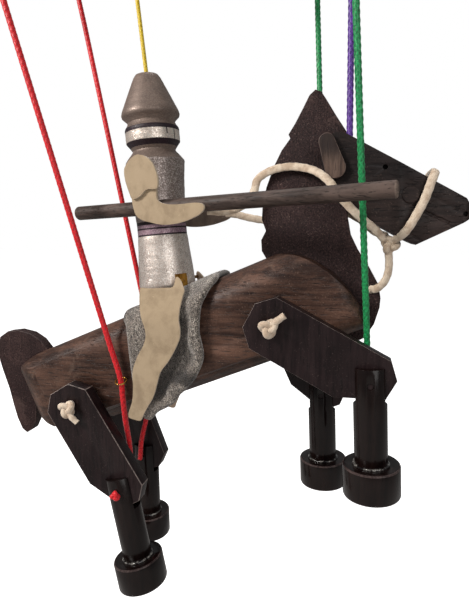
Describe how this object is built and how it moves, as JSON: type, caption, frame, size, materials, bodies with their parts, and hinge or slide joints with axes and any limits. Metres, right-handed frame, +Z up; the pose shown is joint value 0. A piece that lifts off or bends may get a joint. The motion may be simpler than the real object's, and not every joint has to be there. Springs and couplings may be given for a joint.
{
  "type": "marionette puppet",
  "caption": "Jointed wooden horse with a turned rider and lance, hung by braided cords from a wooden bar control.",
  "frame": {"origin": "top mouth of the hang hole in the control's main bar, on the hole's axis", "axes": "+X is the way the horse faces, +Y its left, +Z up as it hangs"},
  "size_m": [0.2803, 0.1044, 0.3806],
  "materials": {
    "control_wood": "satin, waxed",
    "brass": "polished",
    "cord_red": "braided",
    "cord_green": "braided",
    "cord_purple": "braided",
    "cord_yellow": "braided",
    "trunk_wood": "satin black stain, grain showing",
    "board_wood": "matte, speckled",
    "head_wood": "satin black stain",
    "ear_wood": "matte",
    "thigh_wood": "satin black, worn edges",
    "gloss_wood": "gloss black lacquer",
    "silver_paint": "metallic silver paint on wood",
    "lance_wood": "matte, weathered",
    "suede": "suede",
    "felt": "felted, flecked",
    "lace": "suede lace"
  },
  "bodies": {
    "root": {"control_bar": "control_wood", "front_crossbar": "control_wood", "rear_crossbar": "control_wood", "crossbar_screws": "brass", "control_knots": "cord_red", "trunk": "trunk_wood", "neck_board": "board_wood", "tail_board": "board_wood", "front_hip_lace": "lace", "rear_hip_lace": "lace", "guide_rings": "brass", "seat_lace": "lace", "saddle_blanket": "felt", "front_right_string": "cord_green", "front_left_string": "cord_green", "rear_right_string": "cord_red", "rear_left_string": "cord_red", "head_string": "cord_purple", "rider_string": "cord_yellow"},
    "head": {"head": "head_wood", "head_pin": "head_wood", "jaw_dowel": "head_wood", "right_ear": "ear_wood", "left_ear": "ear_wood", "right_rein": "lace", "left_rein": "lace", "noseband": "lace", "rein_knot": "lace", "chest_lace": "lace"},
    "rider": {"rider_body": "silver_paint", "shoulder_lace": "lace", "leg_lace": "lace"},
    "lance_arms": {"lance": "lance_wood", "right_upper_arm": "suede", "left_upper_arm": "suede", "right_forearm": "suede", "left_forearm": "suede"},
    "rider_right_leg": {"right_leg": "suede"},
    "rider_left_leg": {"left_leg": "suede"},
    "front_right_upper": {"front_right_thigh": "thigh_wood"},
    "front_right_lower": {"front_right_shank": "gloss_wood", "front_right_hoof": "gloss_wood", "front_right_knee_pin": "gloss_wood"},
    "front_left_upper": {"front_left_thigh": "thigh_wood"},
    "front_left_lower": {"front_left_shank": "gloss_wood", "front_left_hoof": "gloss_wood", "front_left_knee_pin": "gloss_wood"},
    "rear_right_upper": {"rear_right_thigh": "thigh_wood"},
    "rear_right_lower": {"rear_right_shank": "gloss_wood", "rear_right_hoof": "gloss_wood", "rear_right_knee_pin": "gloss_wood"},
    "rear_left_upper": {"rear_left_thigh": "thigh_wood"},
    "rear_left_lower": {"rear_left_shank": "gloss_wood", "rear_left_hoof": "gloss_wood", "rear_left_knee_pin": "gloss_wood"}
  },
  "joints": [
    {"name": "head_nod", "type": "hinge", "parent": "root", "child": "head", "pos_m": [0.081, 0, -0.123], "axis": [0, 1, 0], "range_deg": [-12, 12], "deforming": ["right_rein", "left_rein", "chest_lace", "head_string"]},
    {"name": "front_right_hip", "type": "hinge", "parent": "root", "child": "front_right_upper", "pos_m": [0.05, 0, -0.205], "axis": [0, 1, 0], "range_deg": [-10, 45], "deforming": ["front_right_string"]},
    {"name": "front_right_knee", "type": "hinge", "parent": "front_right_upper", "child": "front_right_lower", "pos_m": [0.09967, 0, -0.23086], "axis": [0, 1, 0], "range_deg": [-50, 6]},
    {"name": "front_left_hip", "type": "hinge", "parent": "root", "child": "front_left_upper", "pos_m": [0.05, 0, -0.205], "axis": [0, 1, 0], "range_deg": [-40, 25], "deforming": ["front_left_string"]},
    {"name": "front_left_knee", "type": "hinge", "parent": "front_left_upper", "child": "front_left_lower", "pos_m": [0.07322, 0, -0.25596], "axis": [0, 1, 0], "range_deg": [-15, 40]},
    {"name": "rear_right_hip", "type": "hinge", "parent": "root", "child": "rear_right_upper", "pos_m": [-0.06573, 0, -0.25738], "axis": [0, 1, 0], "range_deg": [-20, 35], "deforming": ["rear_right_string"]},
    {"name": "rear_right_knee", "type": "hinge", "parent": "rear_right_upper", "child": "rear_right_lower", "pos_m": [-0.03606, 0, -0.30488], "axis": [0, 1, 0], "range_deg": [-15, 42]},
    {"name": "rear_left_hip", "type": "hinge", "parent": "root", "child": "rear_left_upper", "pos_m": [-0.06573, 0, -0.25738], "axis": [0, 1, 0], "range_deg": [-12, 25], "deforming": ["rear_left_string"]},
    {"name": "rear_left_knee", "type": "hinge", "parent": "rear_left_upper", "child": "rear_left_lower", "pos_m": [-0.04566, 0, -0.30966], "axis": [0, 1, 0], "range_deg": [-15, 42]},
    {"name": "rider_rock", "type": "hinge", "parent": "root", "child": "rider", "pos_m": [-0.004, 0, -0.1848], "axis": [0, 1, 0], "range_deg": [-10, 3], "deforming": ["seat_lace", "rider_string"]},
    {"name": "lance_lift", "type": "hinge", "parent": "rider", "child": "lance_arms", "pos_m": [-0.0219, 0, -0.12574], "axis": [0, 1, 0], "range_deg": [-12, 10]},
    {"name": "rider_right_leg_swing", "type": "hinge", "parent": "rider", "child": "rider_right_leg", "pos_m": [-0.004, 0, -0.1848], "axis": [0, 1, 0], "range_deg": [-20, 6]},
    {"name": "rider_left_leg_swing", "type": "hinge", "parent": "rider", "child": "rider_left_leg", "pos_m": [-0.004, 0, -0.1848], "axis": [0, 1, 0], "range_deg": [-20, 6]}
  ]
}
